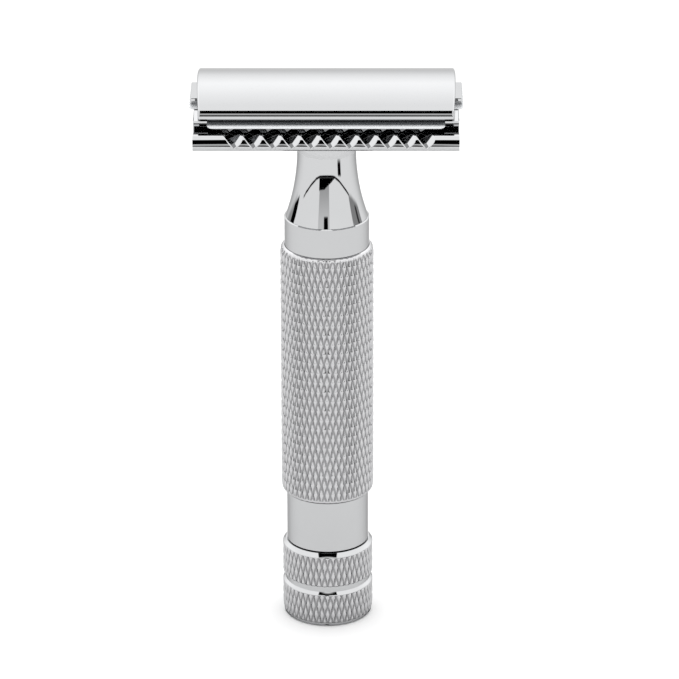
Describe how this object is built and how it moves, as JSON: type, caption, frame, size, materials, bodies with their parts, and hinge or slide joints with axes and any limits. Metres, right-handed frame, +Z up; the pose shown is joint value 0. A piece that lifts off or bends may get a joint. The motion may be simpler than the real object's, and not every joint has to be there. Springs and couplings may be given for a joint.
{
  "type": "safety razor",
  "caption": "Double-edge safety razor with a curved cap, a notched guard, a flared neck, a knurled round handle and a twist knob at its base.",
  "frame": {"origin": "centre of the knob's flat base, on the handle's axis", "axes": "+Z up the handle to the cap, +X along the blade's cutting edges, +Y across the head"},
  "size_m": [0.043, 0.0256, 0.0935],
  "materials": {
    "chrome_head": "mirror chrome plate",
    "chrome_handle": "mirror chrome plate",
    "chrome_knurl": "diamond knurled chrome plate",
    "blade_steel": "ground and honed stainless steel",
    "plain_steel": "turned steel",
    "spring_steel": "blued spring steel",
    "bush_brass": "turned brass",
    "washer_nylon": "natural nylon"
  },
  "bodies": {
    "handle": {"guard_plate": "chrome_head", "neck": "chrome_handle", "handle_tube": "chrome_handle", "grip_sleeve": "chrome_knurl", "neck_bush": "bush_brass", "foot_bush": "bush_brass", "spring_washer": "spring_steel"},
    "drive": {"drive_rod": "plain_steel", "threaded_socket": "bush_brass", "socket_pin": "plain_steel", "knob": "chrome_knurl", "knob_screw": "plain_steel", "thrust_washer": "washer_nylon", "retaining_ring": "spring_steel"},
    "cap": {"cap_plate": "chrome_head", "cap_stud": "chrome_head", "locating_pins": "chrome_head"},
    "blade": {"razor_blade": "blade_steel"}
  },
  "joints": [
    {"name": "knob_turn", "type": "hinge", "parent": "handle", "child": "drive", "pos_m": [0, 0, 0], "axis": [0, 0, -1], "range_deg": [0, 4320]},
    {"name": "cap_lift", "type": "slide", "parent": "handle", "child": "cap", "axis": [0, 0, 1], "range_m": [0, 0.00962]},
    {"name": "blade_lift", "type": "slide", "parent": "handle", "child": "blade", "axis": [0, 0, 1], "range_m": [0, 0.00482]}
  ],
  "couplings": [
    {"joint": "cap_lift", "follows": "knob_turn", "m_per_rad": 0.00012732},
    {"joint": "blade_lift", "follows": "knob_turn", "m_per_rad": 0.000063662}
  ]
}
